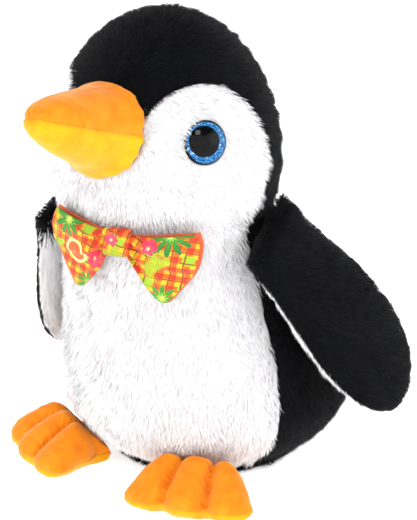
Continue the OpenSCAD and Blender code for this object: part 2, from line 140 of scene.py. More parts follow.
class StageSettings(bpy.types.PropertyGroup):
    """Floor, lights and camera."""

    azimuth: FloatProperty(
        name="Camera azimuth", description="How far round the toy's left side the camera stands",
        default=math.radians(36), subtype="ANGLE", unit="ROTATION")
    elevation: FloatProperty(
        name="Camera elevation", description="How far above the level the camera looks down from",
        default=math.radians(18), subtype="ANGLE", unit="ROTATION")
    distance: length_setting("Camera distance", "From the camera to the toy's middle", 2.0, 0.5, 5)


def settings():
    return bpy.context.scene.penguin


# ---- Meshes ----

def unit(vectors):
    return vectors / np.maximum(np.linalg.norm(vectors, axis=-1, keepdims=True), 1e-12)


def smooth(x):
    x = np.clip(x, 0, 1)
    return x * x * (3 - 2 * x)


def ripple(points, wavelength, seed):
    """Smooth, repeatable unevenness from -1 to 1 whose bumps are about wavelength apart."""
    draw = np.random.default_rng(seed)
    total = np.zeros(len(points))
    for direction, phase in zip(unit(draw.normal(size=(7, 3))), draw.uniform(0, math.tau, 7)):
        total += np.sin(points @ direction * math.tau / wavelength + phase)
    return total / 3.5


def mesh_arrays(mesh):
    """A mesh's points and triangles as arrays."""
    mesh.calc_loop_triangles()
    points = np.zeros(len(mesh.vertices) * 3)
    mesh.vertices.foreach_get("co", points)
    triangles = np.zeros(len(mesh.loop_triangles) * 3, int)
    mesh.loop_triangles.foreach_get("vertices", triangles)
    return points.reshape(-1, 3), triangles.reshape(-1, 3)


def set_points(mesh, points):
    mesh.vertices.foreach_set("co", np.ascontiguousarray(points, np.float32).ravel())
    mesh.update()


def new_object(name, mesh):
    piece = bpy.data.objects.new(name, mesh)
    bpy.context.scene.collection.objects.link(piece)
    return piece


def welded_copy(nodes, name):
    """A new object with the meshes of these CAD nodes, each corner's points joined into one."""
    build = bmesh.new()
    for node in nodes:
        build.from_mesh(frame["nodes"][node].data)
    bmesh.ops.remove_doubles(build, verts=build.verts, dist=0.01 * MM)
    mesh = bpy.data.meshes.new(name)
    build.to_mesh(mesh)
    build.free()
    mesh.materials.clear()
    return new_object(name, mesh)


def face_frames(points, triangles):
    """Each triangle's centre, its outward direction and its area."""
    a, b, c = (points[triangles[:, i]] for i in range(3))
    cross = np.cross(b - a, c - a)
    return (a + b + c) / 3, unit(cross), np.linalg.norm(cross, axis=1) / 2


def point_normals(points, triangles):
    a, b, c = (points[triangles[:, i]] for i in range(3))
    cross = np.cross(b - a, c - a)
    total = np.zeros_like(points)
    for i in range(3):
        np.add.at(total, triangles[:, i], cross)
    return unit(total)


def shade_smooth(mesh):
    mesh.polygons.foreach_set("use_smooth", np.ones(len(mesh.polygons), bool))


def apply_modifiers(piece):
    """Leaves the piece with the mesh that its modifiers make."""
    ready = piece.evaluated_get(bpy.context.evaluated_depsgraph_get())
    mesh = bpy.data.meshes.new_from_object(ready)
    piece.modifiers.clear()
    piece.data = mesh
    shade_smooth(mesh)


def subdivide(piece, levels):
    modifier = piece.modifiers.new("Finer", "SUBSURF")
    modifier.levels = modifier.render_levels = levels
    apply_modifiers(piece)


def finish_piece(piece, material, body, replaces=()):
    """Gives a piece its material and body, and hides the CAD nodes that it stands for."""
    piece.data.materials.clear()
    piece.data.materials.append(material)
    shade_smooth(piece.data)
    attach(piece, body)
    if replaces:
        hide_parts(*replaces)


def dress_node(node, material):
    """Gives a CAD node that stays a better material."""
    mesh = frame["nodes"][node].data
    mesh.materials.clear()
    mesh.materials.append(material)


# ---- Materials ----

def add(tree, kind, settings=None, links=None):
    """Adds a shader node. Settings are its properties, its sockets' values or the stops of a colour
    ramp, each a place and a linear colour; links are its inputs."""
    node = tree.nodes.new("ShaderNode" + kind)
    for key, value in (settings or {}).items():
        if key == "stops":
            elements = node.color_ramp.elements
            while len(elements) < len(value):
                elements.new(0.5)
            for element, (place, colour) in zip(elements, value):
                element.position, element.color = place, (*colour, 1)
        elif isinstance(key, str) and hasattr(node, key):
            setattr(node, key, value)
        else:
            node.inputs[key].default_value = value
    for key, source in (links or {}).items():
        tree.links.new(source, node.inputs[key])
    return node


def start_material(name):
    """An empty material and the coordinates of the object, in metres."""
    material = bpy.data.materials.new(name)
    material.use_nodes = True
    tree = material.node_tree
    tree.nodes.clear()
    place = add(tree, "TexCoord").outputs["Object"]
    return material, tree, place


def end_material(tree, shader):
    add(tree, "OutputMaterial", links={"Surface": shader.outputs["BSDF"]})


def mottled(tree, place, size, detail, stops):
    """A tone that drifts through the stops, in patches that are about size across."""
    patches = add(tree, "TexNoise", {"Scale": 1 / size, **detail}, {"Vector": place})
    tone = add(tree, "ValToRGB", {"stops": stops}, {"Fac": patches.outputs["Fac"]})
    return tone.outputs["Color"]


def mottled_material(name, size, detail, stops, finish):
    """A material with one finish all over, whose tone drifts from patch to patch."""
    material, tree, place = start_material(name)
    tone = mottled(tree, place, size, detail, stops)
    end_material(tree, add(tree, "BsdfPrincipled", finish, {"Base Color": tone}))
    return material


def plush_material(name, root, tip, sheen):
    """Polyester long-pile plush, brushed: matt, with a soft sheen along the locks and a tone
    that drifts from tuft to tuft."""
    return mottled_material(
        name, 9 * MM, {"Detail": 4.0, "Roughness": 0.65}, [(0.36, root), (0.64, tip)],
        {"Roughness": 0.8, "Specular IOR Level": 0.15, "IOR": 1.5, "Sheen Weight": sheen,
         "Sheen Roughness": 0.45})


def velour_material(name, colour, deep):
    """Polyester velour with a 1 mm pile: saturated, with a pale sheen where it turns away and
    a brushed mottling from the lie of the pile."""
    material, tree, place = start_material(name)
    tone = mottled(tree, place, 14 * MM, {"Detail": 5.0, "Roughness": 0.6},
                   [(0.35, deep), (0.62, colour)])
    # Pile grain is 0.3 mm across on the cloth and drawn at 0.8 mm so that it shows.
    grain = add(tree, "TexNoise", {"Scale": 1 / (0.8 * MM), "Detail": 2.0}, {"Vector": place})
    bump = add(tree, "Bump", {"Strength": 0.35, "Distance": 0.35 * MM},
               {"Height": grain.outputs["Fac"]})
    shader = add(tree, "BsdfPrincipled", {
        "Roughness": 0.85, "Specular IOR Level": 0.2,
        "Sheen Weight": 0.35, "Sheen Roughness": 0.4, "Sheen Tint": (1.0, 0.86, 0.62, 1)},
        {"Base Color": tone, "Normal": bump.outputs["Normal"]})
    end_material(tree, shader)
    return material


def plastic_material(name, colour, roughness):
    """Moulded plastic with a faint moulding texture."""
    return mottled_material(name, 3 * MM, {}, [(0.3, [0.85 * c for c in colour]), (0.7, colour)],
                            {"Roughness": roughness, "IOR": 1.49})


def eye_material(name, side, eyes):
    """Clear acrylic over glitter paint and a printed pupil: small bright flakes in a ring, a
    deep black middle that sits a little to the front, and a clean mirror gloss."""
    material, tree, place = start_material(name)
    middle, aim, radius, height = eye_axis(side)
    forward = unit(np.cross(np.cross(aim, [0, -1, 0]), aim))
    pupil = middle + aim * height + (0.17 * forward + [0, 0, 0.11]) * radius
    masks = []
    for centre, compare, share in ((pupil, "LESS_THAN", eyes.pupil_share),
                                   (middle + aim * height, "GREATER_THAN", 1)):
        away = add(tree, "VectorMath", {"operation": "DISTANCE", 1: centre}, {0: place})
        mask = add(tree, "Math", {"operation": compare, 1: radius * share}, {0: away.outputs["Value"]})
        masks.append(mask.outputs["Value"])
    # Flakes are 0.2 mm on the real eye and drawn at 0.7 mm so that they show.
    cells = add(tree, "TexVoronoi", {"Scale": 1 / (0.7 * MM)}, {"Vector": place})
    parts = add(tree, "SeparateColor", links={"Color": cells.outputs["Color"]})
    paint = add(tree, "ValToRGB", {"stops": [
        (0.0, [c * 0.4 for c in eyes.iris]), (0.6, eyes.iris), (0.93, eyes.glitter),
        (0.99, (0.7, 0.85, 1.0))]}, {"Fac": parts.outputs["Red"]})
    dark = add(tree, "Math", {"operation": "MAXIMUM"}, dict(enumerate(masks)))
    tone = add(tree, "Mix", {"data_type": "RGBA", 7: (*linear("#030304"), 1)},
               {"Factor": dark.outputs["Value"], 6: paint.outputs["Color"]})
    shader = add(tree, "BsdfPrincipled", {
        "Roughness": 0.05, "IOR": 1.49, "Specular IOR Level": 0.14}, {"Base Color": tone.outputs[2]})
    end_material(tree, shader)
    return material


def fibre_material(name):
    """Loose polyester filling: matt off-white with a clotted tone."""
    return mottled_material(name, 9 * MM, {"Detail": 6.0},
                            [(0.3, linear("#d8d5cc")), (0.7, linear("#f3f1ea"))],
                            {"Roughness": 0.95})


# ---- Plush ----

def axis_at(z):
    """Middle of the body at height z: it leans forward up to the neck."""
    neck = np.array(joints["head_turn"]["pos_m"])
    share = np.clip(z / neck[2], 0, 1)[:, None]
    return neck * share * [1, 1, 0]


def outward_of(node, centres):
    """Rough outward direction of a panel at these places."""
    if body_of[node] == "head":
        low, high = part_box("head_filling")
        return unit(centres - np.array((low + high) / 2))
    if body_of[node].startswith("wing"):
        return np.tile(wing_frame(node)["out"], (len(centres), 1))
    if node == "base_panel":
        return unit(centres - np.array([0, 0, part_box(node)[1].z]))
    away = centres - axis_at(centres[:, 2])
    away[:, 2] = 0
    return unit(away)


def wing_frame(node):
    """Root, length, width and outward directions of the wing that a node belongs to."""
    side = node.rsplit("_", 1)[1]
    joint = joints[f"wing_{side}_lift"]
    root, across = np.array(joint["pos_m"]), np.array(joint["axis"])
    tips, _ = mesh_arrays(frame["nodes"][f"wing_outer_{side}"].data)
    reach = tips - root
    reach = reach - np.outer(reach @ across, across)
    along = reach[np.argmax(np.linalg.norm(reach, axis=1))]
    out = unit(np.cross(across, along))
    if out[0] * SIDES[side] < 0:
        out = -out
    along = unit(np.cross(out, across))
    if along[2] > 0:
        along = -along
    if "lining" in node:
        out = -out
    return {"root": root, "along": along, "across": across, "out": out, "length": np.max(reach @ along)}


def eye_axis(side):
    """Middle of an eye's flange, its outward direction and its radius."""
    points, _ = mesh_arrays(frame["nodes"][f"eye_{side}"].data)
    washer, _ = mesh_arrays(frame["nodes"][f"eye_washer_{side}"].data)
    inside = (washer.max(0) + washer.min(0)) / 2
    _, _, axes = np.linalg.svd(points - inside, full_matrices=False)
    aims = [a if a @ (points.mean(0) - inside) > 0 else -a for a in axes]
    # The eye is round: its own axis is the direction whose two cross widths are alike.
    offsets = [np.linalg.norm(np.cross(points - inside, a), axis=1).max() for a in aims]
    aim = aims[int(np.argmin(offsets))]
    heights = (points - inside) @ aim
    radius = np.linalg.norm(np.cross(points - inside, aim), axis=1).max()
    rim = heights[np.linalg.norm(np.cross(points - inside, aim), axis=1) > 0.98 * radius]
    return inside + aim * rim.min(), aim, radius, heights.max() - rim.min()


def lie_of_pile(node, points, normals):
    """Direction along the cloth in which the pile was brushed."""
    down = np.array([0.0, 0.0, -1.0])
    if node.startswith("face"):
        low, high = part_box("beak_filling")
        root = np.array([0, high.y, (low.z + high.z) / 2])
        way = unit(points - root) + 0.7 * down
    elif node.startswith("hood"):
        way = np.array([0, 0.75, -0.65]) + 0 * points
    elif node.startswith("wing"):
        way = wing_frame(node)["along"] + 0 * points
    elif node == "base_panel":
        way = unit(points * [1, 1, 0]) + [0, 0, 0.6]
    else:
        way = down + 0 * points
    flat = way - normals * np.sum(way * normals, axis=1)[:, None]
    return unit(flat)


def pile_depth(node, points):
    """How far the cloth lies under the panel's outside: less where a wing thins to its edge."""
    if not node.startswith("wing"):
        return np.full(len(points), CLOTH_DEPTH)
    wing = wing_frame(node)
    height = (points - wing["root"]) @ wing["out"]
    return np.clip(height - 0.4 * MM, 0.3 * MM, CLOTH_DEPTH)


def outside_faces(node, points, triangles):
    centres, directions, areas = face_frames(points, triangles)
    facing = np.sum(directions * outward_of(node, centres), axis=1)
    limit = -0.3 if node.startswith("wing") else 0.25
    return facing > limit, centres, areas


def sew_backing(node, material):
    """The cloth under the pile: the panel's own closed skin with its outside sunk."""
    piece = welded_copy([node], f"{node}_cloth")
    points, triangles = mesh_arrays(piece.data)
    outside, _, _ = outside_faces(node, points, triangles)
    normals = point_normals(points, triangles[outside])
    sunk = np.zeros(len(points), bool)
    sunk[np.unique(triangles[outside])] = True
    if node.startswith("face"):
        middle, aim, radius, _ = eye_axis(node.rsplit("_", 1)[1])
        off_axis = np.linalg.norm(np.cross(points - middle, aim), axis=1)
        sunk &= off_axis > radius + 0.2 * MM
    depth = pile_depth(node, points)
    points[sunk] -= normals[sunk] * depth[sunk, None]
    set_points(piece.data, points)
    finish_piece(piece, material, body_of[node], [node])
    if node.startswith("wing_lining"):
        centres = np.array([polygon.center for polygon in piece.data.polygons])
        piece.data.materials.append(bpy.data.materials["Black brushed plush"])
        piece.data.polygons.foreach_set("material_index", near_root(node, centres).astype(int))


def near_root(node, places):
    """The first few millimetres of a wing, which are black all round."""
    wing = wing_frame(node)
    return (places - wing["root"]) @ wing["along"] < 9 * MM


CLOTH_DEPTH = 5.2 * MM     # how far the woven backing lies under the tips of the pile
TUFT = 4.5 * MM            # distance between the tufts that the locks gather in
RIM_DENSITY = 5            # how much thicker the pile stands on a wing's rim
FLOOR_GAP = 0.4 * MM       # hairs over the floor are pressed up by this much


def grow_pile(node, material, seed, name=None, patch=None):
    """Locks of hair over the outside of a panel, as one mesh of tapering blades. A patch
    picks the part of the panel that they cover."""
    plush = settings().plush
    draw = np.random.default_rng(seed)
    copy = welded_copy([node], f"{node}_scalp")
    points, triangles = mesh_arrays(copy.data)
    bpy.data.objects.remove(copy)
    outside, centres, areas = outside_faces(node, points, triangles)
    if node == "base_panel":
        outside &= centres[:, 2] > 1.2 * MM
    if patch:
        outside &= patch(node, centres)
    if node.startswith("face"):
        middle, aim, radius, _ = eye_axis(node.rsplit("_", 1)[1])
        outside &= np.linalg.norm(np.cross(centres - middle, aim), axis=1) > radius + 0.3 * MM
    normals = point_normals(points, triangles[outside])
    triangles, areas = triangles[outside], areas[outside]
    if node.startswith("wing"):
        _, directions, _ = face_frames(points, triangles)
        on_rim = np.abs(directions @ wing_frame(node)["out"]) < 0.35
        areas = areas * np.where(on_rim, RIM_DENSITY, 1)
    count = int(areas.sum() * plush.hairs_per_cm2 * 1e4)
    chosen = draw.choice(len(triangles), count, p=areas / areas.sum())
    share = draw.dirichlet((1, 1, 1), count)[:, :, None]
    skin = np.sum(points[triangles[chosen]] * share, axis=1)
    normal = unit(np.sum(normals[triangles[chosen]] * share, axis=1))
    if node.startswith("face"):
        off_axis = np.linalg.norm(np.cross(skin - middle, aim), axis=1)
        kept = off_axis > radius + 0.6 * MM
        skin, normal, chosen = skin[kept], normal[kept], chosen[kept]
        count = len(skin)

    depth = pile_depth(node, skin)
    root = skin - normal * (depth - 0.3 * MM)[:, None]
    length = plush.hair_length * draw.uniform(0.82, 1.12, count) * (
        0.55 + 0.45 * depth / CLOTH_DEPTH) * (1 + 0.10 * ripple(skin, 16 * MM, seed))
    lie = lie_of_pile(node, skin, normal)
    side = np.cross(normal, lie)
    swirl = 0.45 * ripple(skin, 38 * MM, seed + 1) + draw.normal(0, 0.28, count)
    lie = unit(lie * np.cos(swirl)[:, None] + side * np.sin(swirl)[:, None])
    rise = np.clip(0.92 + 0.22 * ripple(skin, 13 * MM, seed + 2) + draw.normal(0, 0.12, count),
                   0.45, 1.3)[:, None]

    def along(t):
        return root + length[:, None] * (normal * rise * (0.95 * t - 0.22 * t * t)
                                         + lie * (0.22 * t + 0.45 * t * t))

    middle_point, tip = along(0.5), along(1.0)
    # Locks whose tips lie in one cell gather towards its middle.
    wander = np.stack([ripple(skin, 11 * MM, seed + k) for k in (3, 4, 5)], axis=1)
    cells = np.floor((skin + 1.6 * MM * wander) / TUFT).astype(int)
    _, tuft = np.unique(cells, axis=0, return_inverse=True)
    tuft = tuft.ravel()
    size = np.bincount(tuft)
    gather = np.stack([np.bincount(tuft, tip[:, k]) / size for k in range(3)], axis=1)[tuft]
    tip += (gather - tip) * draw.uniform(0.1, 0.45, count)[:, None]
    middle_point += (gather - middle_point) * draw.uniform(0.0, 0.15, count)[:, None]

    blade = unit(tip - root)
    flat = unit(np.cross(blade, normal) + 0.5 * draw.normal(size=(count, 3)))
    width = (plush.hair_width / 2 * draw.uniform(0.7, 1.25, count))[:, None]
    places = np.stack([root - flat * width, root + flat * width,
                       middle_point - flat * width * 0.8, middle_point + flat * width * 0.8,
                       tip], axis=1)
    places[:, :, 2] = np.maximum(places[:, :, 2], FLOOR_GAP)
    # Each blade shows its outer side, and shades as the rounded lock it stands for.
    turned = np.sum(np.cross(places[:, 1] - places[:, 0], tip - root) * normal, axis=1) < 0
    places[turned] = places[turned][:, [1, 0, 3, 2, 4]]
    sideways = unit(places[:, 1] - places[:, 0])
    soft = unit(normal + 0.25 * draw.normal(size=(count, 3)))
    shading = np.stack([soft - 0.45 * sideways, soft + 0.45 * sideways] * 2
                       + [soft + 0.3 * blade], axis=1)

    piece = new_object(name or f"{node}_pile", blade_mesh(name or f"{node}_pile", places, shading))
    finish_piece(piece, material, body_of[node])


def blade_mesh(name, places, shading):
    """Blades of five points each, a quad at the root and a triangle at the tip, with the
    direction that each point is shaded from."""
    count = len(places)
    base = np.arange(count)[:, None] * 5
    corners = np.concatenate([base + [0, 1, 3, 2], base + [2, 3, 4]], axis=1).ravel()
    starts = (np.arange(count)[:, None] * 7 + [0, 4]).ravel()
    mesh = bpy.data.meshes.new(name)
    mesh.vertices.add(count * 5)
    mesh.vertices.foreach_set("co", places.astype(np.float32).ravel())
    mesh.loops.add(count * 7)
    mesh.loops.foreach_set("vertex_index", corners.astype(np.int32))
    mesh.polygons.add(count * 2)
    mesh.polygons.foreach_set("loop_start", starts.astype(np.int32))
    mesh.update(calc_edges=True)
    shade_smooth(mesh)
    mesh.normals_split_custom_set_from_vertices(unit(shading).reshape(-1, 3).tolist())
    return mesh


def cover_with_plush(nodes, material, seed):
    for i, node in enumerate(nodes):
        sew_backing(node, material)
        grow_pile(node, material, seed + 10 * i)


class PENGUIN_OT_white_plush(bpy.types.Operator):
    """Cover the belly and the face with white plush"""

    bl_idname = "penguin.white_plush"
    bl_label = "White plush"

    def execute(self, context):
        plush = settings().plush
        material = plush_material("White brushed plush", plush.white_root, plush.white_tip, 0.25)
        cover_with_plush(WHITE_PANELS, material, 100)
        return {"FINISHED"}


class PENGUIN_OT_black_plush(bpy.types.Operator):
    """Cover the back, the base and the hood with black plush"""

    bl_idname = "penguin.black_plush"
    bl_label = "Black plush"

    def execute(self, context):
        plush = settings().plush
        material = plush_material("Black brushed plush", plush.black_root, plush.black_tip, 0.03)
        cover_with_plush(BLACK_PANELS, material, 200)
        return {"FINISHED"}


class PENGUIN_OT_wings(bpy.types.Operator):
    """Cover both wings, black outside and white inside"""

    bl_idname = "penguin.wings"
    bl_label = "Wings"

    def execute(self, context):
        black = bpy.data.materials["Black brushed plush"]
        white = bpy.data.materials["White brushed plush"]
        for i, side in enumerate(SIDES):
            lining = f"wing_lining_{side}"
            cover_with_plush([f"wing_outer_{side}"], black, 300 + 40 * i)
            sew_backing(lining, white)
            grow_pile(lining, white, 320 + 40 * i, patch=lambda node, at: ~near_root(node, at))
            grow_pile(lining, black, 330 + 40 * i, f"wing_root_{side}_pile", near_root)
        return {"FINISHED"}


# ---- Stuffed velour ----

VELOUR = 1.2 * MM          # thickness of the velour
SKIN_VOXEL = 3 * MM        # grain of the closed skin that the filling pushes out
SWELL = 3 * MM             # the furthest that the filling pushes the velour
INSTEP = 9 * MM            # how far the top of a foot swells up against the belly


def stuff(nodes, name, free):
    """Joins solids into one closed skin and lets its filling push it out by at most SWELL.
    Free says how far each point may move: 0 where it is sewn on, 1 away from that seam."""
    piece = welded_copy(nodes, name)
    modifier = piece.modifiers.new("Skin", "REMESH")
    modifier.mode = "VOXEL"
    modifier.voxel_size = SKIN_VOXEL
    relax = piece.modifiers.new("Relax", "SMOOTH")
    relax.factor, relax.iterations = 0.5, 5
    apply_modifiers(piece)
    keep_largest_shell(piece)
    before, triangles = mesh_arrays(piece.data)
    loose = free(before)[:, None]
    before = before - point_normals(before, triangles) * 0.4 * SWELL * loose
    set_points(piece.data, before)
    inflate(piece)
    after, _ = mesh_arrays(piece.data)
    move = after - before
    far = np.linalg.norm(move, axis=1)
    move *= np.minimum(1, SWELL / np.maximum(far, 1e-9))[:, None] * loose
    set_points(piece.data, before + move)
    return piece


def keep_largest_shell(piece):
    """Drops the inner walls that a voxel skin leaves round hollows."""
    build = bmesh.new()
    build.from_mesh(piece.data)
    left, shells = set(build.verts), []
    while left:
        group, edge = set(), [left.pop()]
        while edge:
            point = edge.pop()
            group.add(point)
            for link in point.link_edges:
                other = link.other_vert(point)
                if other in left:
                    left.remove(other)
                    edge.append(other)
        shells.append(group)
    shells.sort(key=len)
    for group in shells[:-1]:
        bmesh.ops.delete(build, geom=list(group), context="VERTS")
    build.to_mesh(piece.data)
    build.free()


def inflate(piece):
    """Cloth simulation with air pressure and no gravity, applied to the mesh."""
    scene = bpy.context.scene
    cloth = piece.modifiers.new("Filling", "CLOTH")
    cloth.settings.use_pressure = True
    cloth.settings.uniform_pressure_force = 4
    cloth.settings.effector_weights.gravity = 0
    cloth.settings.quality = 5
    for number in range(1, 21):
        scene.frame_set(number)
    apply_modifiers(piece)
    scene.frame_set(1)


def split_by_plane(piece, name, point, normal):
    """Cuts a skin in two: the piece keeps what lies above the plane, the new one the rest."""
    other = new_object(name, piece.data.copy())
    for half, flip in ((piece, 1), (other, -1)):
        build = bmesh.new()
        build.from_mesh(half.data)
        geometry = list(build.verts) + list(build.edges) + list(build.faces)
        bmesh.ops.bisect_plane(build, geom=geometry, plane_co=point,
                               plane_no=Vector(normal) * -flip, clear_outer=True)
        build.to_mesh(half.data)
        build.free()
    return other


def thicken(piece, thickness):
    """Gives an open panel the thickness of its cloth, inwards."""
    modifier = piece.modifiers.new("Cloth", "SOLIDIFY")
    modifier.thickness = thickness
    modifier.offset = -1
    apply_modifiers(piece)


def groove(distance, width):
    """1 on a seam's line, falling to 0 over its width."""
    return np.exp(-(distance / width) ** 2)


class PENGUIN_OT_beak(bpy.types.Operator):
    """Stuff the beak, sink its side seam and pucker its tip"""

    bl_idname = "penguin.beak"
    bl_label = "Beak"

    def execute(self, context):
        velour = settings().velour
        orange = velour_material("Orange velour", velour.orange, velour.orange_deep)
        yellow = velour_material("Yellow velour", velour.yellow, velour.yellow_deep)
        upper, _ = mesh_arrays(frame["nodes"]["beak_upper"].data)
        lower, _ = mesh_arrays(frame["nodes"]["beak_lower"].data)
        tip = upper[np.argmin(upper[:, 1])] * [0, 1, 1]
        top = np.array([0, *(upper.max(0) + upper.min(0))[1:] / 2])
        bottom = np.array([0, *(lower.max(0) + lower.min(0))[1:] / 2])
        rough_up = unit(top - bottom)
        root = beak_root(upper)
        along = unit(tip - root)
        up = unit(rough_up - along * (rough_up @ along))
        nodes = ["beak_upper", "beak_lower", "beak_filling"]
        piece = stuff(nodes, "beak_upper_velour",
                      lambda at: smooth(((at - root) @ along - 4 * MM) / (20 * MM)))
        subdivide(piece, 2)
        points, triangles = mesh_arrays(piece.data)
        normals = point_normals(points, triangles)
        off = points - tip
        height = off @ up
        back = -(off @ along)
        round_tip = np.linalg.norm(off, axis=1)
        bearing = np.arctan2(height, points[:, 0])
        # The side seam sinks in and draws small creases on both sides of it.
        push = -1.5 * MM * groove(height, 1.4 * MM)
        crease = np.sin(back * math.tau / (5.5 * MM) + 2.5 * ripple(points, 17 * MM, 11))
        push += 0.35 * MM * crease * groove(height, 7 * MM) * smooth(back / (10 * MM))
        # The filling is uneven, and the cloth gathers round the seams' end at the tip.
        push += 0.8 * MM * ripple(points, 34 * MM, 12)
        push += 0.25 * MM * ripple(points, 9 * MM, 13)
        pucker = np.cos(7 * bearing + 1.5 * ripple(points, 14 * MM, 14))
        push += 0.8 * MM * pucker * groove(round_tip - 7 * MM, 5 * MM)
        push -= 1.6 * MM * groove(round_tip, 3 * MM)
        points = points + normals * push[:, None]
        # The root spreads under the pile round it, where it is sewn to the face.
        ahead = (points - root) @ along
        flare = smooth(1 - ahead / (13 * MM))[:, None]
        sideways = points - root - np.outer(ahead, along)
        points += flare * (sideways * 0.11 - along * 1.5 * MM)
        set_points(piece.data, points)
        lower_half = split_by_plane(piece, "beak_lower_velour", tip, up)
        for half, material, node in ((piece, orange, "beak_upper"), (lower_half, yellow, "beak_lower")):
            thicken(half, VELOUR)
            replaced = [node, "beak_filling"] if node == "beak_upper" else [node]
            finish_piece(half, material, "head", replaced)
        return {"FINISHED"}


def beak_root(points):
    """Middle of the ring where the beak is sewn to the face."""
    widest = points[np.abs(points[:, 0]) > 0.98 * np.abs(points[:, 0]).max()]
    return np.array([0, widest[:, 1].mean(), widest[:, 2].mean()])


class PENGUIN_OT_feet(bpy.types.Operator):
    """Stuff the feet, stitch the lines between the toes and sink the sole's seam"""

    bl_idname = "penguin.feet"
    bl_label = "Feet"

    def execute(self, context):
        for side in SIDES:
            make_foot(side)
        return {"FINISHED"}


def make_foot(side):
    joint = joints[f"foot_{side}_flex"]
    heel, across = np.array(joint["pos_m"]), np.array(joint["axis"])
    toes = np.cross([0, 0, 1], across)
    nodes = [f"foot_upper_{side}", f"foot_sole_{side}", f"foot_filling_{side}"]
    piece = stuff(nodes, f"foot_upper_{side}_velour",
                  lambda at: smooth(((at - heel) @ toes - 6 * MM) / (20 * MM)))
    subdivide(piece, 2)
    points, triangles = mesh_arrays(piece.data)
    normals = point_normals(points, triangles)
    off = points - heel
    reach, aside = off @ toes, off @ across
    length = reach.max()
    wide = np.abs(aside).max()
    heel_wide = np.abs(aside[np.abs(reach) < 4 * MM]).max()
    half = heel_wide + (wide - heel_wide) * smooth(reach / length)
    place = aside / half
    seam_z = heel[2]
    on_top = smooth((points[:, 2] - seam_z) / (5 * MM))
    # Uneven filling, then the two sewn lines that part the toes, with their gathers.
    push = 0.5 * MM * ripple(points, 24 * MM, 21) + 0.2 * MM * ripple(points, 8 * MM, 22)
    for line in (-1 / 3, 1 / 3):
        distance = (place - line) * half
        stitch = 1 + 0.12 * np.cos(reach * math.tau / (4 * MM))
        push -= 3.6 * MM * on_top * groove(distance, 2.4 * MM) * stitch * smooth(reach / (18 * MM))
        gathers = np.cos(reach * math.tau / (6 * MM) + 3 * ripple(points, 20 * MM, 23))
        push += 0.3 * MM * on_top * gathers * groove(distance, 7 * MM)
    # The seam between the top and the sole sinks in.
    upright = 1 - np.abs(normals[:, 2]) ** 3
    push -= 1.2 * MM * groove(points[:, 2] - seam_z, 1.2 * MM) * upright
    points = points + normals * push[:, None]
    # The instep swells up against the belly.
    instep = groove(reach - 17 * MM, 15 * MM) * smooth((points[:, 2] - seam_z) / (12 * MM))
    points[:, 2] += INSTEP * instep * (1 - np.minimum(1, np.abs(place)) ** 4)
    points[:, 2] = np.maximum(points[:, 2], 0.2 * MM)
    # The ends of the heel's seam are tucked in.
    spare = np.maximum(0, np.abs(aside) - (heel_wide - 7 * MM)) * smooth(1.3 - reach / (14 * MM))
    points -= np.outer(np.sign(aside) * spare, across)
    set_points(piece.data, points)
    sole = split_by_plane(piece, f"foot_sole_{side}_velour", Vector(heel), (0, 0, 1))
    for cloth, velour, replaced in ((piece, "Orange velour", [nodes[0], nodes[2]]),
                                    (sole, "Yellow velour", [nodes[1]])):
        thicken(cloth, VELOUR)
        finish_piece(cloth, bpy.data.materials[velour], f"foot_{side}",
                     replaced)


# ---- Eyes ----

def turned_mesh(name, profile, middle, aim, around=96):
    """A round solid from (radius, height) rings about an axis; a radius of 0 is a pole."""
    build = bmesh.new()
    side = unit(np.cross(aim, [0.3, 1, 0]))
    up = np.cross(side, aim)
    rings = []
    for radius, height in profile:
        centre = middle + aim * height
        if radius == 0:
            rings.append([build.verts.new(centre)])
            continue
        rings.append([build.verts.new(centre + radius * (math.cos(t) * side + math.sin(t) * up))
                      for t in np.linspace(0, math.tau, around, endpoint=False)])
    for low, high in zip(rings, rings[1:]):
        for i in range(around):
            j = (i + 1) % around
            corners = [low[i % len(low)], low[j % len(low)], high[j % len(high)], high[i % len(high)]]
            build.faces.new(list(dict.fromkeys(corners)))
    bmesh.ops.recalc_face_normals(build, faces=build.faces)
    mesh = bpy.data.meshes.new(name)
    build.to_mesh(mesh)
    build.free()
    shade_smooth(mesh)
    return new_object(name, mesh)


class PENGUIN_OT_eyes(bpy.types.Operator):
    """Mould both safety eyes: glitter iris, black pupil and a glossy dome"""

    bl_idname = "penguin.eyes"
    bl_label = "Eyes"

    def execute(self, context):
        eyes = settings().eyes
        for side in SIDES:
            self.mould(side, eye_material(f"Acrylic eye, {side}", side, eyes))
        return {"FINISHED"}

    def mould(self, side, material):
        middle, aim, radius, height = eye_axis(side)
        flange = 1.5 * MM
        dome = height - flange
        ball = (radius ** 2 + dome ** 2) / (2 * dome)
        profile = [(0, height)]
        for t in np.linspace(0, 1, 16)[1:]:
            at = radius * math.sin(t * math.pi / 2)
            profile.append((at, flange + dome - ball + math.sqrt(ball ** 2 - at ** 2)))
        profile += [(radius + 0.3 * MM, flange * 0.5), (radius, 0), (3 * MM, 0), (3 * MM, -16 * MM),
                    (0, -17 * MM)]
        piece = turned_mesh(f"eye_{side}_moulded", profile, middle, aim)
        finish_piece(piece, material, "head", [f"eye_{side}"])


# ---- Bow tie ----

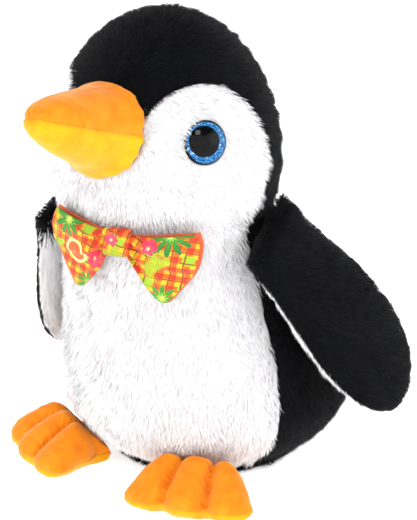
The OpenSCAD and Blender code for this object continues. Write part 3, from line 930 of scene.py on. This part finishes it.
def print_motif(tree, front, under, centre, radius, petals, depth, stops):
    """A printed leaf rosette, blossom or slice of fruit over the colour under it. Depth is how
    deep its outline dips between petals, and stops are its colours from the middle out."""
    off = add(tree, "VectorMath", {"operation": "SUBTRACT", 1: (*centre, 0)},
              {0: front.outputs["Vector"]})
    parts = add(tree, "SeparateXYZ", links={"Vector": off.outputs["Vector"]})
    edge = add(tree, "Math", {"operation": "ARCTAN2"}, {0: parts.outputs["Y"], 1: parts.outputs["X"]})
    for step in ({"operation": "MULTIPLY", 1: petals / 2}, {"operation": "COSINE"},
                 {"operation": "ABSOLUTE"},
                 {"operation": "MULTIPLY_ADD", 1: depth * radius, 2: (1 - depth) * radius}):
        edge = add(tree, "Math", step, {0: edge.outputs["Value"]})
    away = add(tree, "VectorMath", {"operation": "LENGTH"}, {0: off.outputs["Vector"]})
    share = add(tree, "Math", {"operation": "DIVIDE"},
                {0: away.outputs["Value"], 1: edge.outputs["Value"]})
    inside = add(tree, "Math", {"operation": "LESS_THAN", 1: 1.0}, {0: share.outputs["Value"]})
    paint = add(tree, "ValToRGB", {"stops": stops}, {"Fac": share.outputs["Value"]})
    mixed = add(tree, "Mix", {"data_type": "RGBA"},
                {"Factor": inside.outputs["Value"], 6: under, 7: paint.outputs["Color"]})
    return mixed.outputs[2]


def print_material(name):
    """Cotton poplin, roller printed: a tropical print over a small woven-look check."""
    bow = settings().bow
    material, tree, place = start_material(name)
    bow_place = bow_frame()
    from_knot = add(tree, "VectorMath", {"operation": "SUBTRACT", 1: bow_place["middle"]}, {0: place})
    front = add(tree, "CombineXYZ")
    for i, way in enumerate(("side", "up")):
        reach = add(tree, "VectorMath", {"operation": "DOT_PRODUCT", 1: bow_place[way]},
                    {0: from_knot.outputs["Vector"]})
        tree.links.new(reach.outputs["Value"], front.inputs[i])
    tilted = add(tree, "Mapping", {"Rotation": (0, 0, 0.25)}, {"Vector": front.outputs["Vector"]})
    flat_place = tilted.outputs["Vector"]
    axis = add(tree, "SeparateXYZ", links={"Vector": flat_place})
    # Madras: orange stripes both ways over yellow, red where they cross, some lime squares
    # from a wider set of stripes, and a thin dark line beside each stripe.
    layers = []
    for pitch, phase, low, high in ((2 * bow.square, 0.0, 0.56, 0.68), (6 * bow.square, 1.1, 0.74, 0.80),
                                    (2 * bow.square, 1.9, 0.93, 0.99)):
        masks = []
        for way in ("X", "Y"):
            turns = add(tree, "Math", {"operation": "MULTIPLY_ADD", 1: math.tau / pitch,
                                       2: phase}, {0: axis.outputs[way]})
            wave = add(tree, "Math", {"operation": "SINE"}, {0: turns.outputs["Value"]})
            level = add(tree, "MapRange", {"From Min": 2 * low - 1, "From Max": 2 * high - 1},
                        {"Value": wave.outputs["Value"]})
            masks.append(level.outputs["Result"])
        both = add(tree, "Math", {"operation": "MULTIPLY"}, {0: masks[0], 1: masks[1]})
        either = add(tree, "Math", {"operation": "MAXIMUM"}, {0: masks[0], 1: masks[1]})
        layers.append((both.outputs["Value"], either.outputs["Value"]))
    colour = None
    for mask, tint in ((layers[0][1], bow.orange), (layers[0][0], bow.red),
                       (layers[1][0], linear("#8cb41e")), (layers[2][1], linear("#8a3208"))):
        mixed = add(tree, "Mix", {"data_type": "RGBA", 6: (*bow.yellow, 1), 7: (*tint, 1)},
                    {"Factor": mask, **({6: colour} if colour else {})})
        colour = mixed.outputs[2]
    wash = mottled(tree, flat_place, 24 * MM, {"Detail": 3.0},
                   [(0.54, (0, 0, 0)), (0.62, (0.8, 0.8, 0.8))])
    washed = add(tree, "Mix", {"data_type": "RGBA", 7: (*linear("#8fb81c"), 1)},
                 {"Factor": wash, 6: colour})
    colour = washed.outputs[2]
    # Motifs: centre and radius in mm in the plane of the bow tie, petals, depth of the
    # petals, and colours from the middle out.
    rind, pulp, pollen = linear("#f3cf86"), linear("#e0520c"), linear("#fff0a0")
    small_leaf = [(0.0, linear("#d8e85a")), (0.5, bow.leaf), (1.0, bow.leaf)]
    blossom = [(0.0, pollen), (0.3, bow.blossom), (1.0, linear("#d9304f"))]
    motifs = [
        ((44, 9), 17, 11, 0.75, [(0.0, linear("#cde36a")), (0.35, bow.leaf), (1.0, linear("#1e6b22"))]),
        ((-44, 12), 14, 9, 0.7, [(0.0, linear("#e6ee6a")), (0.4, bow.leaf), (1.0, linear("#2a7a25"))]),
        ((33, -46), 12, 9, 0.7, small_leaf),
        ((-30, -40), 10, 9, 0.7, small_leaf),
        ((29, 0), 7, 5, 0.45, blossom),
        ((-21, -17), 8, 5, 0.45, blossom),
        ((-3, 3), 6, 5, 0.45, [(0.0, pollen), (0.3, bow.blossom), (1.0, bow.blossom)]),
        ((-38, -13), 11, 0, 0.0, [(0.0, rind), (0.12, pulp), (0.74, pulp), (0.8, rind), (1.0, rind)]),
    ]
    for (x, z), radius, petals, depth, stops in motifs:
        colour = print_motif(tree, front, colour, (x * MM, z * MM), radius * MM, petals, depth, stops)
    # Yarns are 0.25 mm apart and drawn at 0.6 mm so that they show.
    weave = add(tree, "TexWave", {"Scale": 1 / (0.6 * MM) / math.tau, "Distortion": 1.0,
                                  "bands_direction": "DIAGONAL"}, {"Vector": flat_place})
    bump = add(tree, "Bump", {"Strength": 0.25, "Distance": 0.15 * MM},
               {"Height": weave.outputs["Fac"]})
    shader = add(tree, "BsdfPrincipled", {"Roughness": 0.8, "Sheen Weight": 0.1},
                 {"Base Color": colour, "Normal": bump.outputs["Normal"]})
    end_material(tree, shader)
    return material


def cotton_material(name, colour):
    """Plain woven cotton: matt, with a slight tone change from yarn to yarn."""
    return mottled_material(name, 1.5 * MM, {"Detail": 3.0},
                            [(0.3, [0.8 * c for c in colour]), (0.7, colour)], {"Roughness": 0.85})


def bow_frame():
    """Middle of the bow tie, its outward, sideways and upward directions and its half size."""
    joint = joints["bow_swivel"]
    out = np.array(joint["axis"])
    up = np.array([0, 0, 1.0])
    side = np.cross(up, out)
    middle = np.array(joint["pos_m"])
    points, _ = mesh_arrays(frame["nodes"]["bow_loop_left"].data)
    off = (points - middle) @ np.array([side, up, out]).T
    if off[:, 0].mean() < 0:
        side, off[:, 0] = -side, -off[:, 0]
    return {"middle": middle, "out": out, "side": side, "up": up,
            "half_width": off[:, 0].max(), "high": off[:, 1].max(), "low": off[:, 1].min()}


KNOT_HALF = 11 * MM          # half the width of the knot
BOW_TILT = math.radians(4)   # the bow tie hangs lower on the toy's left
# Outline of a loop from its lower corner by the knot to its upper corner: share of the half
# width, and share of the height above (positive) or below the middle.
LOOP_CORNERS = ((0.24, -0.46), (0.62, -1.0), (1.05, -0.30), (1.08, 0.25), (1.0, 1.0))
CORNER_SHARES = (0.0, 0.28, 0.68, 0.85, 1.0)


def soft_line(share, values):
    """Goes through the loop's corners with each of them rounded."""
    spread = np.linspace(-0.09, 0.09, 9)
    return np.mean([np.interp(np.clip(share + step, 0, 1), CORNER_SHARES, values)
                    for step in spread], axis=0)


def bow_loop(side, layer):
    """One folded loop as a grid: u runs from the knot outwards, v from its lower edge up.
    Layer 0 is the printed front and 1 the backing behind it."""
    bow = bow_frame()
    columns, rows = 72, 60
    u, v = np.meshgrid(np.linspace(0, 1, columns), np.linspace(-1, 1, rows))
    share = (v + 1) / 2
    wide = soft_line(share, [corner[0] for corner in LOOP_CORNERS])
    tall = soft_line(share, [corner[1] for corner in LOOP_CORNERS])
    tall = np.where(tall > 0, tall * bow["high"], -tall * bow["low"])
    inner = np.stack([np.full_like(v, KNOT_HALF * 0.7), 6.5 * MM * v], -1)
    outer = np.stack([wide * bow["half_width"], tall], -1)
    grow = 1.015 if layer == 1 else 1.0
    flat = inner + (outer * grow - inner) * u[..., None]
    sign = SIDES[side]
    spots = np.stack([flat[..., 0] * sign, flat[..., 1], 0 * u], -1).reshape(-1, 3)
    waves = ripple(spots, 24 * MM, 31 if sign > 0 else 37).reshape(u.shape)
    depth = 1.6 * MM - flat[..., 0] ** 2 / 0.23 + 0.13 * np.minimum(0, flat[..., 1])
    if layer == 0:
        gathered = (1 - u) ** 0.8 * smooth(u * 6)
        pleats = np.cos(v * 3.2 * math.pi + 0.8 * sign + 1.4 * u)
        puff = np.sin(math.pi * u ** 0.8) * np.sqrt(1 - v * v)
        # The upper flap is folded over a lower layer along a line from the knot outwards.
        across = v + 0.30 - 0.55 * u
        flap = smooth(across * 9) - 0.5 * groove(across + 0.10, 0.11)
        depth = depth + (4.5 * puff + 3.4 * pleats * gathered + 1.2 * waves
                         + 6.0 * flap * smooth(u * 2.5) * (1 - 0.5 * u)) * MM
    else:
        depth = depth + (0.6 * waves - 3.0) * MM
    turned = np.stack([flat[..., 0] * sign, flat[..., 1], depth], -1)
    cos, sin = math.cos(BOW_TILT), math.sin(BOW_TILT)
    lateral = turned[..., 0] * cos + turned[..., 1] * sin
    height = turned[..., 1] * cos - turned[..., 0] * sin
    places = (bow["middle"] + lateral[..., None] * bow["side"] + height[..., None] * bow["up"]
              + depth[..., None] * bow["out"])
    faces = [(i * columns + j, i * columns + j + 1, (i + 1) * columns + j + 1, (i + 1) * columns + j)
             for i in range(rows - 1) for j in range(columns - 1)]
    if sign < 0:
        faces = [face[::-1] for face in faces]
    kind = "loop" if layer == 0 else "backing"
    mesh = bpy.data.meshes.new(f"bow_{kind}_{side}_cotton")
    mesh.from_pydata(places.reshape(-1, 3).tolist(), [], faces)
    piece = new_object(mesh.name, mesh)
    thicken(piece, 0.7 * MM)
    return piece


class PENGUIN_OT_bow_tie(bpy.types.Operator):
    """Fold the two loops of the bow tie, back them and wrap the knot"""

    bl_idname = "penguin.bow_tie"
    bl_label = "Bow tie"

    def execute(self, context):
        printed = print_material("Printed cotton poplin")
        backing = cotton_material("Backing cotton", settings().bow.backing)
        for side in SIDES:
            for layer, kind, material in ((0, "loop", printed), (1, "backing", backing)):
                piece = bow_loop(side, layer)
                node = f"bow_{kind}_{side}"
                finish_piece(piece, material, "bow_tie", [node])
        self.wrap_knot(printed)
        return {"FINISHED"}

    def wrap_knot(self, material):
        bow = bow_frame()
        piece = welded_copy(["bow_knot"], "bow_knot_cotton")
        subdivide(piece, 3)
        points, triangles = mesh_arrays(piece.data)
        normals = point_normals(points, triangles)
        off = points - (points.max(0) + points.min(0)) / 2
        lateral = off @ bow["side"]
        folds = np.cos(lateral * math.tau / (5.2 * MM) + 1.2 * ripple(points, 14 * MM, 41))
        waist = smooth(1 - np.abs(off[:, 2]) / (12 * MM))
        push = 0.55 * MM * folds - 0.8 * MM * waist * np.abs(lateral) / (10 * MM)
        set_points(piece.data, points + normals * push[:, None])
        finish_piece(piece, material, "bow_tie", ["bow_knot"])


# ---- Inside ----

class PENGUIN_OT_inside(bpy.types.Operator):
    """Give the fillings and the eyes' washers their materials"""

    bl_idname = "penguin.inside"
    bl_label = "Inside"

    def execute(self, context):
        fibre = fibre_material("Loose polyester fibre")
        nylon = plastic_material("Natural nylon", linear("#e8e6df"), 0.5)
        for node in frame["nodes"]:
            if "filling" in node:
                dress_node(node, fibre)
            if "washer" in node:
                dress_node(node, nylon)
        return {"FINISHED"}


# ---- Stage ----

def plain_paper(name):
    """Seamless background paper: matt, with a barely visible tooth, and lit from behind."""
    return mottled_material(name, 2.5 * MM, {},
                            [(0.3, linear("#fbfbfb")), (0.7, linear("#ffffff"))],
                            {"Roughness": 0.9, "Emission Color": (1, 1, 1, 1),
                             "Emission Strength": 0.72})


def soft_light(name, place, target, size, power):
    light = bpy.data.lights.new(name, "AREA")
    light.shape, light.size, light.energy = "SQUARE", size, power
    lamp = new_object(name, light)
    lamp.location = place
    lamp.rotation_euler = (Vector(target) - Vector(place)).to_track_quat("-Z", "Y").to_euler()
    return lamp


class PENGUIN_OT_stage(bpy.types.Operator):
    """Set the pale floor, the soft lights and the camera"""

    bl_idname = "penguin.stage"
    bl_label = "Stage"

    def execute(self, context):
        stage, scene = settings().stage, context.scene
        scene.view_settings.view_transform = "Standard"
        target = Vector((0, -0.04, 0.19))
        self.lay_floor()
        azimuth, elevation = stage.azimuth, stage.elevation
        towards = Vector((math.sin(azimuth) * math.cos(elevation),
                          -math.cos(azimuth) * math.cos(elevation), math.sin(elevation)))
        camera = bpy.data.cameras.new("Camera")
        camera.sensor_fit = "HORIZONTAL"
        camera.sensor_width = 36
        camera.lens = 103.6 * stage.distance
        camera.shift_x, camera.shift_y = 0.0726, -0.0263
        stand = new_object("Camera", camera)
        stand.location = target + towards * stage.distance
        stand.rotation_euler = (-towards).to_track_quat("-Z", "Y").to_euler()
        scene.camera = stand
        right = Vector((math.cos(azimuth), math.sin(azimuth), 0))
        ahead = Vector((towards.x, towards.y, 0)).normalized()
        # Each light: metres ahead of the toy, to its right and above it, its size and watts.
        for name, forward, aside, height, size, power in (
                ("Key", 0.98, -0.05, 1.26, 0.45, 7.6), ("Fill left", 0.9, -1.3, 0.5, 1.0, 2.4),
                ("Fill right", 0.7, 1.4, 0.4, 1.0, 3.2), ("Rim", -1.2, 0.8, 0.8, 0.8, 4)):
            place = target + ahead * forward + right * aside + Vector((0, 0, height))
            soft_light(name, place, target, size, power)
        world = bpy.data.worlds.new("Studio")
        world.use_nodes = True
        scene.world = world
        sky = world.node_tree.nodes["Background"]
        sky.inputs["Color"].default_value = (1, 1, 1, 1)
        sky.inputs["Strength"].default_value = 0.33
        return {"FINISHED"}

    def lay_floor(self):
        """A floor that curves up into the backdrop, further out than any camera."""
        flat, bend = 9.0, 2.0
        profile = [(r, 0) for r in (0, 1.0, 3.0, flat)]
        profile += [(flat + bend * math.sin(t), bend - bend * math.cos(t))
                    for t in np.linspace(0.2, math.pi / 2, 8)]
        profile += [(flat + bend, flat)]
        floor = turned_mesh("Floor", profile, np.array([0, 0, 0.0]), np.array([0, 0, 1.0]), 64)
        floor.data.materials.append(plain_paper("White background paper"))


class PenguinSettings(bpy.types.PropertyGroup):
    """All settings of the toy."""

    plush: PointerProperty(type=PlushSettings)
    velour: PointerProperty(type=VelourSettings)
    eyes: PointerProperty(type=EyeSettings)
    bow: PointerProperty(type=BowSettings)
    stage: PointerProperty(type=StageSettings)


OPERATORS = (
    PENGUIN_OT_stage, PENGUIN_OT_white_plush, PENGUIN_OT_black_plush, PENGUIN_OT_wings,
    PENGUIN_OT_beak, PENGUIN_OT_feet, PENGUIN_OT_eyes, PENGUIN_OT_bow_tie, PENGUIN_OT_inside)


class PENGUIN_PT_panel(bpy.types.Panel):
    """Sidebar panel with every piece and its settings"""

    bl_idname = "PENGUIN_PT_panel"
    bl_label = "Plush penguin"
    bl_space_type = "VIEW_3D"
    bl_region_type = "UI"
    bl_category = "Penguin"

    def draw(self, context):
        for group in ("plush", "velour", "eyes", "bow", "stage"):
            box = self.layout.box()
            values = getattr(context.scene.penguin, group)
            for name in values.__annotations__:
                box.prop(values, name)
        for operator in OPERATORS:
            self.layout.operator(operator.bl_idname)


CLASSES = (PlushSettings, VelourSettings, EyeSettings, BowSettings, StageSettings,
           PenguinSettings, *OPERATORS, PENGUIN_PT_panel)


def register():
    for kind in CLASSES:
        bpy.utils.register_class(kind)
    bpy.types.Scene.penguin = PointerProperty(type=PenguinSettings)


def unregister():
    del bpy.types.Scene.penguin
    for kind in reversed(CLASSES):
        bpy.utils.unregister_class(kind)


def main():
    register()
    bpy.ops.penguin.stage()
    bpy.ops.penguin.white_plush()
    bpy.ops.penguin.black_plush()
    bpy.ops.penguin.wings()
    bpy.ops.penguin.beak()
    bpy.ops.penguin.feet()
    bpy.ops.penguin.eyes()
    bpy.ops.penguin.bow_tie()
    bpy.ops.penguin.inside()


if __name__ == "__main__":
    main()
